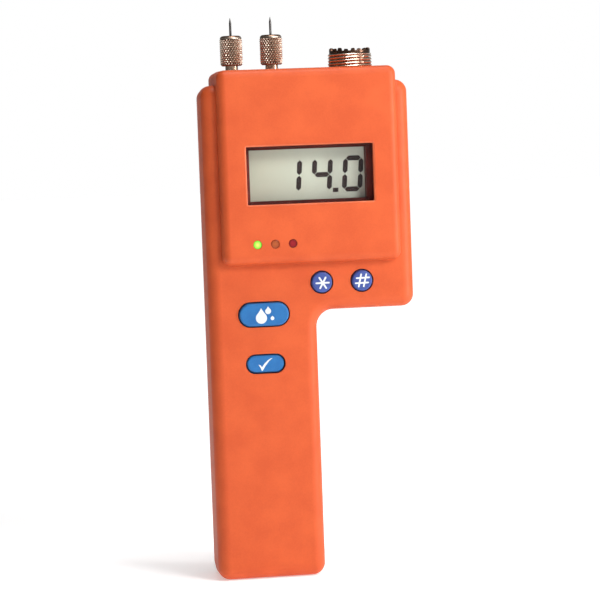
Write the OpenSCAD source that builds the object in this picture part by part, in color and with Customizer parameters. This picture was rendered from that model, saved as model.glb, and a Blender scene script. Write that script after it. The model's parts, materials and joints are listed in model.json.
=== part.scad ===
// Hand-held grain moisture meter. A two-part moulded case has a narrow handle and a wide head.
// The head carries a raised panel with a display, three lamps and, on top, two needle contacts
// in knurled chucks and a threaded coaxial socket. Four sprung keys sit below the display.
// Every piece is drawn lying on its back (x right, y up the meter, z out of the front face),
// and stood_up() turns it so that the meter stands on the foot of its handle, facing -Y.

/* [Case] */
// Width of the handle
handle_w = 38.7; // [32:0.1:47]
// Height of the head's underside above the handle's foot
handle_h = 95.1; // [92:0.1:116]
// Width across the head
head_w = 74.2; // [74:0.1:92]
// Height of the shoulders
case_h = 176.1; // [176:0.1:214]
// Depth of the case from its front face to its back
case_d = 25.5; // [25:0.1:31]
// Height of the parting plane above the back
rear_d = 14.2; // [13:0.1:17]
// Thickness of the moulded walls
wall = 2.4; // [1.8:0.1:2.9]
// Outline radius of the case's outer corners
corner_r = 4.4; // [3.7:0.1:5.3]
// Outline radius of the corner between the handle and the head
armpit_r = 6.1; // [4:0.1:8]
// Radius of the turn onto the back face
back_r = 3.4; // [2.8:0.1:3.9]

/* [Display panel] */
// Width of the raised panel
panel_w = 64; // [60:0.1:67]
// Height of the panel's lower edge above the head's underside
panel_gap = 17.3; // [14:0.1:21]
// How far the panel stands out of the front face
panel_out = 4.7; // [4:0.1:5.7]
// How far the panel stands above the shoulders
panel_up = 5; // [4.1:0.1:6]
// Outline radius of the panel's corners
panel_r = 3; // [2.5:0.1:3.6]
// Radius of the turn onto the back of the panel's crown
panel_back_r = 2.5; // [2:0.1:2.7]
// How far the panel's back lies in front of the case's back
panel_back_gap = 0.6; // [0.4:0.1:1]

/* [Window] */
// Width of the window
window_w = 46.3; // [38:0.1:50]
// Height of the window
window_h = 21.5; // [18:0.1:25.5]
// Drop from the panel's top edge to the window's middle
window_drop = 37.4; // [31:0.1:40]
// Depth of the recess in front of the lens
window_depth = 4.4; // [3.6:0.1:4.6]
// Outline radius of the window's corners
window_r = 1; // [0.6:0.1:1.5]
// Width of the wall around the window
collar_w = 1.8; // [1.2:0.1:2.2]
// Thickness of the clear lens
lens_t = 1; // [0.8:0.1:1.2]
// Width of the visible part of the display
view_w = 41.9; // [36:0.1:43]
// Height of the visible part of the display
view_h = 18.1; // [15:0.1:18.6]
// Height of a displayed digit
digit_h = 12.8; // [10:0.1:13.6]
// Width of a displayed digit
digit_w = 7.4; // [6:0.1:8]

/* [Lamps] */
// Diameter of each lamp
led_d = 3; // [2.5:0.1:3.6]
// Distance from one lamp to the next
led_pitch = 6.3; // [5.2:0.05:7.6]
// Distance of the middle lamp left of the panel's middle
led_left = 13.45; // [11:0.05:14.5]
// Height of the lamps above the panel's lower edge
led_rise = 7.1; // [6:0.1:8.7]

/* [Keys] */
// Length of the moisture key
moisture_w = 17.7; // [15:0.1:21]
// Height of the moisture key
moisture_h = 8.2; // [7:0.1:9.8]
// Length of the check key
check_w = 13.4; // [11:0.1:16]
// Height of the check key
check_h = 6.2; // [5.2:0.1:7.4]
// Drop of the moisture key's middle below the head's underside
moisture_drop = 0.5; // [0.3:0.1:0.7]
// Drop from the moisture key to the check key
check_drop = 17.6; // [15:0.1:21]
// Diameter of the round keys
round_d = 7.4; // [6.2:0.1:8.8]
// Distance of the star key right of the head's middle
star_x = 3.4; // [3.4:0.1:4]
// Distance of the hash key right of the head's middle
hash_x = 17.9; // [15:0.1:21.4]
// Height of the round keys above the head's underside
round_rise = 10; // [8.4:0.1:12]
// Gap all round a key in its hole
key_gap = 0.45; // [0.35:0.05:0.6]
// How far a key travels when pressed
key_travel = 0.8; // [0.6:0.05:0.9]

/* [Contacts] */
// Distance between the two contact needles
pin_pitch = 14.4; // [12:0.1:17.3]
// Distance of the needles' midpoint left of the head's middle
pins_left = 17.25; // [16:0.05:18]
// Diameter of the knurled chucks
chuck_d = 8.2; // [6.7:0.1:9.7]
// Length of the knurled chucks
chuck_h = 10.7; // [9.6:0.1:12.8]
// Gap between the case and a chuck
chuck_gap = 1.75; // [1.1:0.05:1.8]
// Diameter of the threaded posts
post_d = 4.5; // [3.8:0.1:5.4]
// Diameter of the contact needles
needle_d = 0.85; // [0.7:0.05:1]
// Length of needle above its chuck
needle_out = 6.4; // [5.3:0.1:8]
// Radial running clearance
fit = 0.05; // [0.02:0.01:0.08]

/* [Socket] */
// Distance of the coaxial socket right of the head's middle
socket_x = 18.3; // [15.3:0.1:18.6]
// Diameter over the socket's thread
socket_d = 15.875; // [15.875]
// Height of the socket's rim above the panel
socket_h = 7; // [5.5:0.1:8]
// Diameter of the centre contact's bore
contact_bore = 4; // [4]
// Number of teeth round the rim
tooth_count = 16; // [12:1:20]

/* [Battery] */
// Width of the battery
battery_w = 26.2; // [21.8:0.1:26.5]
// Thickness of the battery
battery_t = 17.2; // [14.3:0.1:17.4]
// Height of the battery's can
battery_h = 46.4; // [38:0.1:48]
// Thickness of the battery door
door_t = 2; // [1.6:0.1:2.4]
// Gap round the battery door
door_gap = 0.25; // [0.15:0.05:0.35]

/* [Hidden] */
$fn = 64;

// A cut runs this far past the face it opens
over = 1;
// Outline radii stay this much above the edge rounding that runs round them
round_margin = 0.1;

// Depths: z is 0 halfway between the panel's front and the case's back
total_d = case_d + panel_out;
z_back = -total_d / 2;
z_panel = total_d / 2;
z_face = z_panel - panel_out;
z_split = z_back + rear_d;

// Outlines, seen from the front
x_left = -head_w / 2;
x_right = head_w / 2;
x_armpit = x_left + handle_w;
x_handle = x_left + handle_w / 2;
panel_bottom = handle_h + panel_gap;
panel_top = case_h + panel_up;
case_path = [[x_left, 0], [x_armpit, 0], [x_armpit, handle_h], [x_right, handle_h],
    [x_right, case_h], [x_left, case_h]];
panel_path = [[-panel_w / 2, panel_bottom], [panel_w / 2, panel_bottom],
    [panel_w / 2, panel_top], [-panel_w / 2, panel_top]];

// The panel's back half shows only above the shoulders, and is rooted in the head below them
crown_bottom = case_h - corner_r - 4;
crown_path = [[-panel_w / 2, crown_bottom], [panel_w / 2, crown_bottom],
    [panel_w / 2, panel_top], [-panel_w / 2, panel_top]];

// Back of the case: the walls lean in from the parting plane and turn onto the back
rear_in = corner_r - round_margin;
panel_rear_in = panel_r - round_margin;
z_panel_back = z_back + panel_back_gap;
cavity_step = rear_d * 0.45;

// Display stack, from the window back to the board
window_y = panel_top - window_drop;
gasket_t = 0.2;
lens_lap = 2;
z_lens = z_panel - window_depth;
z_collar = z_lens + gasket_t;
flange_t = 3.5;
z_view = z_lens - lens_t - flange_t;
view_y = window_y - 0.1;
glass_t = 2;
glass_w = view_w + 5;
glass_h = view_h + 4.4;
frame_w = 1.6;
frame_clear = 0.15;
ink_t = 0.05;
digit_lean = 4.6;
digit_drop = 0.4;
digit_pitch = 11.1;
last_digit_x = 16.7;
dot_x = 10.75;
bar_w = 1.75;
bar_gap = 0.12;

// Board
board_t = 1.6;
z_board = z_face - wall - 5.1;
board_clear = 0.9;
board_top = window_y + window_h / 2 + 4;
boss_r = 3.1;
screw_r = 1.4;
screw_head_r = 2.6;
screw_head_h = 2;
screw_l = 12;
screw_in = 8.5;
top_screw_x = 7.8;
top_screw_in = 10;
pilot_clear = 0.02;
sink_r = screw_head_r + 0.3;
sink_d = rear_d * 0.57;
rear_boss_r = sink_r + 1;

// Battery bay in the handle, open at the back
bay_clear = 0.8;
bay_w = battery_w + 2 * bay_clear;
bay_wall = 1.4;
hinge_r = 1.7;
hinge_y = corner_r + hinge_r + 0.8;
hinge_z = z_back + hinge_r;
pin_r = 0.8;
hinge_pin_in = 1.6;
battery_y = hinge_y + hinge_r + 0.4;
battery_cap = 2.3;
snap_t = 2.2;
bay_bottom = hinge_y - hinge_r - door_gap;
bay_top = battery_y + battery_h + battery_cap + snap_t + 1.4;
door_top = bay_top - 2;
pad_t = 0.8;
door_pad_t = 0.7;
z_battery = z_back + door_t + door_pad_t + 0.15;
z_bay = z_battery + battery_t + pad_t;

snap_pitch = 12.7;
stud_r = 2.8;
socket_cup_r = 4;
snap_clear = 0.1;
lead_r = 0.7;
lead_xs = [x_handle - 3, x_handle + 3];

board_bottom = bay_top + bay_wall + 1.2;
screw_spots = [[x_left + top_screw_x, case_h - top_screw_in],
    [x_right - top_screw_x, case_h - top_screw_in],
    [x_right - screw_in, handle_h + screw_in], [x_left + screw_in, board_bottom + 4],
    [x_armpit - screw_in, board_bottom + 4]];
board_screw_r = 1;
board_post_r = 2.2;
board_post_in = 5.8;
board_spots = [[x_left + board_post_in, window_y + 6], [x_right - board_post_in, window_y + 6],
    [x_right - board_post_in, panel_bottom + 4], [x_left + board_post_in, handle_h - 7]];

// Keys: [x, y, length, height, how far it stands out of the face]
moisture_spot = [x_handle, handle_h - moisture_drop, moisture_w, moisture_h, 0.94];
check_spot = [x_handle, moisture_spot[1] - check_drop, check_w, check_h, -0.28];
star_spot = [star_x, handle_h + round_rise, round_d, round_d, 0.76];
hash_spot = [hash_x, handle_h + round_rise, round_d, round_d, 0.76];
key_spots = [moisture_spot, check_spot, star_spot, hash_spot];
key_round = 0.7;
lip_w = 0.9;
lip_t = 0.85;
lip_gap = 0.05;
z_lip = z_face - wall - lip_gap - lip_t;
switch_w = 6;
switch_h = z_lip - z_board - key_travel - 0.3;
plunger_r = 1.7;
plunger_in = 1;

// Lamps
z_lamp = z_panel - 0.1;
lamp_l = 5.3;
lamp_rim = 0.4;
lamp_edge = 0.3;
lamp_wire_x = 1.27;

// Needle contacts and their posts
pin_xs = [-pins_left - pin_pitch / 2, -pins_left + pin_pitch / 2];
chuck_y = panel_top + chuck_gap;
chuck_cap = 2.3;
post_top = chuck_y + chuck_h - chuck_cap - 1.15;
needle_head_r = 1.5;
needle_head_h = 1;
needle_tip = 1.9;
insulator_r = 4.2;
neck_r = 3.4;
flange_h = 1.5;
post_bottom = panel_top - wall - 7;
nut_h = 2.4;
lug_t = 0.5;

// Coaxial socket
socket_r = socket_d / 2;
socket_neck_r = socket_r - 0.45;
socket_bore_r = socket_r - 1.6;
socket_flange_r = socket_r + 1.7;
tooth_h = 1.2;
rim_r = socket_r - 0.7;
rim_chamfer = 0.7;
contact_wall = 0.8;

// Lays a drawn piece out standing on the handle's foot
module stood_up() {
    rotate([90, 0, 0])
        children();
}

// Direction of the edge that leaves point i of a path
function heading(path, i) =
    let (a = path[i], b = path[(i + 1) % len(path)])
    atan2(b[1] - a[1], b[0] - a[0]);

// Whether the path, which runs anticlockwise, turns left at point i
function is_outer(path, i) =
    let (n = len(path), turn = heading(path, i) - heading(path, (i + n - 1) % n))
    sin(turn) > 0;

// Unit vector at an angle
function unit(angle) = [cos(angle), sin(angle)];

// Outline radius at point i
function bend_r(path, i, r) = is_outer(path, i) ? r : armpit_r;

// Centre of the outline's bend at point i
function bend_centre(path, i, r) =
    let (n = len(path), before = heading(path, (i + n - 1) % n), after = heading(path, i),
        side = is_outer(path, i) ? 1 : -1, size = bend_r(path, i, r))
    path[i] + side * size * (unit(before + 90) + unit(after + 90));

// The path moved in by a distance, with square corners
function inset_path(path, distance) =
    let (n = len(path))
    [for (i = [0 : n - 1])
        path[i] + distance * (unit(heading(path, (i + n - 1) % n) + 90) + unit(heading(path, i) + 90))];

// The middle of an outline, inside the strip that carries its edge rounding
module core_shape(path, r) {
    polygon(inset_path(path, r));
    for (i = [0 : len(path) - 1])
        if (!is_outer(path, i))
            translate(bend_centre(path, i, r))
                rotate(heading(path, i))
                    bend_filler(bend_r(path, i, r) + r);
}

// The square between an inner bend and the sharp corner behind it, less the bend's disc
module bend_filler(size) {
    difference() {
        rotate(90)
            square(size);
        circle(size);
    }
}

// A solid whose edge has the given profile all round a path: x is the distance in from the
// outline, up to r, and y is the height. Its middle is flat from z_low to z_high.
module rimmed(path, r, z_low, z_high) {
    translate([0, 0, z_low])
        linear_extrude(z_high - z_low)
            core_shape(path, r);
    for (i = [0 : len(path) - 1]) {
        last = (i + 1) % len(path);
        start = bend_r(path, i, r);
        span = norm(path[last] - path[i]) - start - bend_r(path, last, r);
        translate([path[i][0], path[i][1], 0])
            rotate([0, 0, heading(path, i)])
                translate([start, 0, 0])
                    rotate([90, 0, 90])
                        linear_extrude(span)
                            children();
        rim_bend(path, i, r)
            children();
    }
}

// The rounded corner of rimmed() at point i
module rim_bend(path, i, r) {
    centre = bend_centre(path, i, r);
    before = heading(path, (i + len(path) - 1) % len(path));
    if (is_outer(path, i))
        translate([centre[0], centre[1], 0])
            rotate([0, 0, before - 90])
                rotate_extrude(angle = 90)
                    translate([r, 0])
                        mirror([1, 0])
                            children();
    else
        translate([centre[0], centre[1], 0])
            rotate([0, 0, before])
                rotate_extrude(angle = 90)
                    translate([bend_r(path, i, r), 0])
                        children();
}

// Edge profile of a plain wall
module straight_edge(r, z_low, z_high) {
    translate([0, z_low])
        square([r, z_high - z_low]);
}

// Edge profile with a quarter round at its top
module round_edge(r, z_low, z_high) {
    turn = r - round_margin;
    difference() {
        straight_edge(r, z_low, z_high);
        difference() {
            translate([-over, z_high - turn])
                square([turn + over, turn + over]);
            translate([turn, z_high - turn])
                circle(turn);
        }
    }
}

// Lean of a wall that starts at the outline and, over depth, pulls in by pull, the last of it
// in a turn that it meets smoothly
function draft(pull, depth, turn) =
    90 - atan2(depth - turn, pull) - asin(turn / norm([pull, depth - turn]));

// Edge profile that leans in towards its foot and turns onto it
module back_edge(r, z_low, z_high, pull, turn) {
    depth = z_high - z_low;
    lean = draft(pull, depth, turn);
    foot = [pull, z_low];
    heel = [depth * tan(lean), z_low];
    tangent = foot + turn * [-cos(lean), 1 - sin(lean)];
    difference() {
        polygon([[0, z_high], heel, [r, z_low], [r, z_high]]);
        difference() {
            polygon([tangent, heel - [over, over], foot]);
            translate([pull, z_low + turn])
                circle(turn);
        }
    }
}

// A flat outline moved in by a distance, with its bends kept round
module plate_shape(path, r, distance) {
    core_shape(path, r);
    for (i = [0 : len(path) - 1]) {
        last = (i + 1) % len(path);
        start = bend_r(path, i, r);
        span = norm(path[last] - path[i]) - start - bend_r(path, last, r);
        translate(path[i])
            rotate(heading(path, i))
                translate([start, distance])
                    square([span, r - distance]);
        centre = bend_centre(path, i, r);
        before = heading(path, (i + len(path) - 1) % len(path));
        if (is_outer(path, i))
            translate(centre)
                rotate(before - 90)
                    quarter_disc(r - distance);
        else
            translate(centre)
                rotate(before)
                    difference() {
                        quarter_disc(bend_r(path, i, r) + r);
                        circle(bend_r(path, i, r) + distance);
                    }
    }
}

// A quarter of a disc, in the first quadrant
module quarter_disc(r) {
    intersection() {
        circle(r);
        square(r);
    }
}

// A slab of plate_shape() between two heights
module plate(path, r, distance, z_low, z_high) {
    translate([0, 0, z_low])
        linear_extrude(z_high - z_low)
            plate_shape(path, r, distance);
}

// A slab standing between two heights, centred on a spot
module block(centre, size, z_low, z_high) {
    translate([centre[0] - size[0] / 2, centre[1] - size[1] / 2, z_low])
        cube([size[0], size[1], z_high - z_low]);
}

// A slab with rounded corners
module soft_block(centre, size, r, z_low, z_high) {
    x = size[0] / 2;
    y = size[1] / 2;
    translate([centre[0], centre[1], 0])
        plate([[-x, -y], [x, -y], [x, y], [-x, y]], r, 0, z_low, z_high);
}

// A cylinder out of the front face
module peg(spot, r, z_low, z_high) {
    translate([spot[0], spot[1], z_low])
        cylinder(h = z_high - z_low, r = r);
}

// A cylinder up the meter, on the top fittings' common plane
module riser(x, r, y_low, y_high) {
    translate([x, y_low, z_split])
        rotate([-90, 0, 0])
            cylinder(h = y_high - y_low, r = r);
}

// A key's outline with straight sides, grown by a distance
module pill(spot, grow, z_low, z_high) {
    r = spot[3] / 2 + grow;
    reach = (spot[2] - spot[3]) / 2;
    if (reach > 0) {
        for (side = [-1, 1])
            translate([spot[0] + side * reach, spot[1], z_low])
                rotate([0, 0, -90 * side])
                    rotate_extrude(angle = 180)
                        square([r, z_high - z_low]);
        block(spot, [2 * reach, 2 * r], z_low, z_high);
    } else {
        peg(spot, r, z_low, z_high);
    }
}

// A key's cap with a rounded top edge
module key_cap(spot, z_low, z_high) {
    r = spot[3] / 2;
    reach = (spot[2] - spot[3]) / 2;
    if (reach > 0) {
        for (side = [-1, 1])
            translate([spot[0] + side * reach, spot[1], 0])
                rotate([0, 0, -90 * side])
                    rotate_extrude(angle = 180)
                        half_section(r, z_low, z_high, key_round);
        for (side = [0, 180])
            translate([spot[0], spot[1], 0])
                rotate([0, 0, side])
                    translate([-reach, 0, 0])
                        rotate([90, 0, 90])
                            linear_extrude(2 * reach)
                                half_section(r, z_low, z_high, key_round);
    } else {
        translate([spot[0], spot[1], 0])
            rotate_extrude()
                half_section(r, z_low, z_high, key_round);
    }
}

// Half of the section of a flat-topped piece whose top edge has a radius
module half_section(r, z_low, z_high, edge_r) {
    difference() {
        translate([0, z_low])
            square([r, z_high - z_low]);
        difference() {
            translate([r - edge_r, z_high - edge_r])
                square(edge_r + over);
            translate([r - edge_r, z_high - edge_r])
                circle(edge_r);
        }
    }
}

// A whole key: cap, and the lip that holds it behind the face
module key(spot) {
    color("steelblue")
        stood_up() {
            key_cap(spot, z_lip + lip_t / 2, z_face + spot[4]);
            pill(spot, key_gap + lip_w, z_lip, z_lip + lip_t);
        }
}

module plunger(spot) {
    color("dimgray")
        stood_up()
            peg(spot, plunger_r, z_lip - key_travel - 0.3 - plunger_in, z_lip);
}

// Spaces that the top fittings need in both shells
module top_holes() {
    for (x = pin_xs) {
        riser(x, neck_r, panel_top - wall - over, panel_top + over);
        riser(x, insulator_r + fit, panel_top - wall - over, panel_top - wall + fit);
    }
    riser(socket_x, socket_neck_r + fit, panel_top - wall - over, panel_top + over);
}

module front_shell() {
    color("orangered")
        stood_up()
            difference() {
                union() {
                    difference() {
                        front_block();
                        plate(case_path, corner_r, wall, z_split - over, z_face - wall);
                        plate(panel_path, panel_r, wall, z_split - over, z_panel - wall);
                    }
                    soft_block([0, window_y], [window_w + 2 * collar_w, window_h + 2 * collar_w],
                        window_r + collar_w, z_collar, z_panel - wall / 2);
                    for (spot = screw_spots)
                        peg(spot, boss_r, z_split, z_face - wall / 2);
                    for (spot = board_spots)
                        peg(spot, board_post_r, z_board, z_face - wall / 2);
                }
                soft_block([0, window_y], [window_w, window_h], window_r, z_collar - over,
                    z_panel + over);
                for (i = [-1 : 1])
                    peg([-led_left + i * led_pitch, panel_bottom + led_rise], led_d / 2 + fit,
                        z_panel - wall - over, z_panel + over);
                for (spot = key_spots)
                    pill(spot, key_gap, z_face - wall - over, z_face + over);
                for (spot = screw_spots)
                    peg(spot, screw_r + pilot_clear, z_split - over, z_face - wall - 0.4);
                for (spot = board_spots)
                    peg(spot, board_screw_r + pilot_clear, z_board - over, z_face - wall - 0.4);
                top_holes();
            }
}

// The front half before it is hollowed
module front_block() {
    rimmed(case_path, corner_r, z_split, z_face)
        round_edge(corner_r, z_split, z_face);
    rimmed(panel_path, panel_r, z_split, z_panel)
        round_edge(panel_r, z_split, z_panel);
}

// The back half before it is hollowed
module rear_block() {
    rimmed(case_path, corner_r, z_back, z_split)
        back_edge(corner_r, z_back, z_split, rear_in, back_r);
    rimmed(crown_path, panel_r, z_panel_back, z_split)
        back_edge(panel_r, z_panel_back, z_split, panel_rear_in, panel_back_r);
}

// The hollow of the back half: a wide shallow step, a narrower deep one and the crown's own
module rear_hollow() {
    slope = tan(draft(rear_in, rear_d, back_r));
    crown_d = z_split - z_panel_back;
    crown_slope = tan(draft(panel_rear_in, crown_d, panel_back_r));
    crown_wall = wall + crown_slope * (crown_d - wall);
    plate(case_path, corner_r, wall + slope * cavity_step, z_split - cavity_step, z_split + over);
    translate([0, 0, z_back + wall])
        linear_extrude(rear_d - wall - cavity_step + over)
            polygon(inset_path(case_path, wall + slope * (rear_d - wall)));
    block([0, (crown_bottom + panel_top) / 2],
        [panel_w - 2 * crown_wall, panel_top - crown_bottom - 2 * crown_wall],
        z_panel_back + wall, z_split + over);
}

module rear_shell() {
    bay_middle = [x_handle, (bay_bottom + bay_top) / 2];
    bay = [bay_w, bay_top - bay_bottom];
    color("orangered")
        stood_up()
            difference() {
                union() {
                    difference() {
                        rear_block();
                        rear_hollow();
                    }
                    block(bay_middle, bay + 2 * bay_wall * [1, 1], z_back + wall / 2,
                        z_bay + bay_wall);
                    for (spot = screw_spots)
                        peg(spot, rear_boss_r, z_back + wall / 2, z_split);
                }
                block(bay_middle, bay, z_back + door_t + door_gap, z_bay);
                block([x_handle, (bay_bottom + door_top + door_gap) / 2],
                    [bay_w, door_top + door_gap - bay_bottom], z_back - over, z_bay);
                translate([x_handle - bay_w / 2 - hinge_pin_in, hinge_y, hinge_z])
                    rotate([0, 90, 0])
                        cylinder(h = bay_w + 2 * hinge_pin_in, r = pin_r + fit);
                for (x = lead_xs)
                    riser(x, lead_r + 0.3, bay_top - over, bay_top + bay_wall + over);
                for (spot = screw_spots) {
                    peg(spot, screw_r + 0.15, z_back - over, z_split + over);
                    peg(spot, sink_r, z_back - over, z_back + sink_d);
                }
                top_holes();
                top_pockets();
            }
}

// Room in the back half, under the top wall, for the inner ends of the top fittings
module top_pockets() {
    top = panel_top - wall + fit;
    foot = top - 7.5;
    riser(socket_x, socket_flange_r + 2 * fit, foot, top);
    for (x = pin_xs)
        block([x, (foot + top) / 2], [2 * insulator_r + 4 * fit, top - foot], z_split - 7.5,
            z_split + over);
}

module battery_door() {
    w = bay_w - 2 * door_gap;
    grip_pitch = 2.2;
    color("orangered")
        stood_up()
            difference() {
                union() {
                    block([x_handle, (hinge_y + door_top) / 2], [w, door_top - hinge_y], z_back,
                        z_back + door_t);
                    translate([x_handle - w / 2, hinge_y, hinge_z])
                        rotate([0, 90, 0])
                            cylinder(h = w, r = hinge_r);
                }
                translate([x_handle - w / 2 - over, hinge_y, hinge_z])
                    rotate([0, 90, 0])
                        cylinder(h = w + 2 * over, r = pin_r + fit);
                for (i = [0 : 4])
                    block([x_handle, door_top - 5 - i * grip_pitch], [12, 1], z_back - over,
                        z_back + 0.6);
            }
}

module door_hinge_pin() {
    reach = bay_w + 2 * hinge_pin_in - 0.4;
    color("silver")
        stood_up()
            translate([x_handle - reach / 2, hinge_y, hinge_z])
                rotate([0, 90, 0])
                    cylinder(h = reach, r = pin_r);
}

module door_pad() {
    color("dimgray")
        stood_up()
            block([x_handle, battery_y + battery_h / 2], [battery_w - 8, battery_h - 12],
                z_back + door_t, z_back + door_t + door_pad_t);
}

module battery() {
    top = battery_y + battery_h;
    color("darkslategray")
        stood_up() {
            translate([x_handle - battery_w / 2, battery_y, z_battery])
                cube([battery_w, battery_h, battery_t]);
            for (side = [-1, 1])
                translate([x_handle + side * snap_pitch / 2, top, z_battery + battery_t / 2])
                    rotate([-90, 0, 0])
                        cylinder(h = battery_cap, r = side > 0 ? stud_r : socket_cup_r);
        }
}

module battery_snap() {
    foot = battery_y + battery_h + battery_cap;
    color("black")
        stood_up() {
            translate([x_handle - battery_w / 2 + 0.5, foot, z_battery + battery_t / 2 - 6])
                cube([battery_w - 1, snap_t, 12]);
            translate([x_handle + snap_pitch / 2, foot - 1.8, z_battery + battery_t / 2])
                rotate([-90, 0, 0])
                    difference() {
                        cylinder(h = 2, r = stud_r + 1);
                        translate([0, 0, -over])
                            cylinder(h = 2 + over, r = stud_r + snap_clear);
                    }
        }
}

module battery_pad() {
    color("dimgray")
        stood_up()
            block([x_handle, battery_y + battery_h / 2], [battery_w - 4, battery_h - 8],
                z_battery + battery_t, z_bay);
}

// A wire from the battery snap to the back of the board
module battery_lead(x) {
    turn = board_bottom + 3;
    stood_up() {
        riser(x, lead_r, battery_y + battery_h + battery_cap + snap_t, turn);
        translate([x, turn, z_split])
            sphere(r = lead_r);
        translate([x, turn, z_split])
            cylinder(h = z_board - board_t - z_split, r = lead_r);
    }
}

module battery_lead_red() {
    color("firebrick")
        battery_lead(lead_xs[1]);
}

module battery_lead_black() {
    color("black")
        battery_lead(lead_xs[0]);
}

module lens_gasket() {
    color("black")
        stood_up()
            difference() {
                block([0, window_y], [window_w + 2 * collar_w, window_h + 2 * collar_w], z_lens,
                    z_collar);
                block([0, window_y], [window_w, window_h], z_lens - over, z_collar + over);
            }
}

module display_lens() {
    color("lightcyan")
        stood_up()
            block([0, window_y], [window_w + 2 * lens_lap, window_h + 2 * lens_lap],
                z_lens - lens_t, z_lens);
}

module display_frame() {
    pocket = [glass_w + 2 * frame_clear, glass_h + 2 * frame_clear];
    top_edge = window_y + window_h / 2 + lens_lap;
    bottom_edge = view_y - pocket[1] / 2 - frame_w;
    color("saddlebrown")
        stood_up()
            difference() {
                translate([-window_w / 2 - lens_lap, bottom_edge, z_board])
                    cube([window_w + 2 * lens_lap, top_edge - bottom_edge,
                        z_view + flange_t - z_board]);
                block([0, view_y], [view_w, view_h], z_board - over, z_view + flange_t + over);
                block([0, view_y], pocket, z_board - over, z_view);
            }
}

module lcd_glass() {
    color("darkseagreen")
        stood_up()
            block([0, view_y], [glass_w, glass_h], z_view - glass_t, z_view - ink_t);
}

// Leans a point to the right by its height
function leaning(p) = [p[0] + p[1] * tan(digit_lean), p[1]];

// One bar of a digit, pointed at both ends: [x, y, length, whether it stands]
module bar(place) {
    reach = place[2] / 2 - bar_gap;
    half = bar_w / 2;
    lying = [[-reach, 0], [half - reach, -half], [reach - half, -half], [reach, 0],
        [reach - half, half], [half - reach, half]];
    polygon([for (p = lying)
        leaning([place[0], place[1]] + (place[3] ? [-p[1], p[0]] : p))]);
}

// A digit of seven bars. The bars run: top, top left, top right, middle, bottom left,
// bottom right, bottom.
module digit(x, bars) {
    across = digit_w - bar_w;
    up = (digit_h - bar_w) / 2;
    places = [[x, up, across, false], [x - across / 2, up / 2, up, true],
        [x + across / 2, up / 2, up, true], [x, 0, across, false],
        [x - across / 2, -up / 2, up, true], [x + across / 2, -up / 2, up, true],
        [x, -up, across, false]];
    for (i = bars)
        bar(places[i]);
}

module lcd_segments() {
    dot = [for (p = [[-1, 0], [1, 0], [1, 1.5], [-1, 1.5]])
        leaning([dot_x, -digit_h / 2] + p)];
    color("black")
        stood_up()
            translate([0, view_y - digit_drop, z_view - ink_t])
                linear_extrude(ink_t) {
                    digit(last_digit_x, [0, 1, 2, 4, 5, 6]);
                    digit(last_digit_x - digit_pitch, [1, 2, 3, 5]);
                    digit(last_digit_x - 2 * digit_pitch, [2, 5]);
                    polygon(dot);
                }
}

module zebra_strips() {
    strip = 2;
    color("pink")
        stood_up()
            for (side = [-1, 1])
                block([0, view_y + side * (glass_h - strip) / 2], [glass_w - 2, strip], z_board,
                    z_view - glass_t);
}

// Outline of the board: the case's own, moved in, between two heights
module circuit_board() {
    z_low = z_board - board_t;
    color("darkgreen")
        stood_up()
            difference() {
                intersection() {
                    plate(case_path, corner_r, wall + board_clear, z_low, z_board);
                    translate([x_left, board_bottom, z_low - over])
                        cube([head_w, board_top - board_bottom, board_t + 2 * over]);
                }
                for (spot = screw_spots)
                    peg(spot, boss_r + 0.4, z_low - over, z_board + over);
                for (spot = board_spots)
                    peg(spot, board_screw_r + 0.1, z_low - over, z_board + over);
            }
}

module microcontroller() {
    chip = 14;
    legs = 17;
    z_low = z_board - board_t;
    spot = [0, panel_bottom + 14];
    color("black")
        stood_up() {
            block(spot, [chip, chip], z_low - 1.7, z_low - 0.2);
            for (turn = [0, 90])
                for (i = [-5 : 5])
                    translate([spot[0], spot[1], 0])
                        rotate([0, 0, turn])
                            block([i, 0], [0.4, legs], z_low - 0.5, z_low);
        }
}

module board_components() {
    z_low = z_board - board_t;
    color("goldenrod")
        stood_up() {
            for (i = [0 : 3])
                block([-24 + i * 3.4, panel_bottom + 30], [2, 3.2], z_low - 1.3, z_low);
            for (i = [0 : 3])
                block([14 + i * 3, panel_bottom + 8], [1.6, 3.2], z_low - 0.9, z_low);
            for (x = [-22, -13])
                peg([x, panel_bottom + 12], 3.15, z_low - 7, z_low);
            soft_block([18, panel_bottom + 26], [11, 4.6], 2.2, z_low - 3.5, z_low);
            block([x_handle - 4, board_bottom + 20], [5, 4], z_low - 1.6, z_low);
        }
}

// A pan-head screw, its head below z_head and its point above
module screw(spot, r, head_r, head_h, z_head, length) {
    difference() {
        union() {
            peg(spot, head_r, z_head - head_h, z_head);
            peg(spot, r, z_head - head_h / 2, z_head + length);
        }
        block(spot, [head_r * 1.1, head_r * 0.3], z_head - head_h - over, z_head - head_h / 2);
        block(spot, [head_r * 0.3, head_r * 1.1], z_head - head_h - over, z_head - head_h / 2);
    }
}

module board_screws() {
    color("silver")
        stood_up()
            for (spot = board_spots)
                screw(spot, board_screw_r, 1.9, 1.3, z_board - board_t, 5.6);
}

module case_screws() {
    color("silver")
        stood_up()
            for (spot = screw_spots)
                screw(spot, screw_r, screw_head_r, screw_head_h, z_back + sink_d, screw_l);
}

module tact_switches() {
    color("dimgray")
        stood_up()
            for (spot = key_spots)
                difference() {
                    block(spot, [switch_w, switch_w], z_board, z_board + switch_h);
                    peg(spot, plunger_r + fit, z_board + 0.4, z_board + switch_h + over);
                }
}

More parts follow.
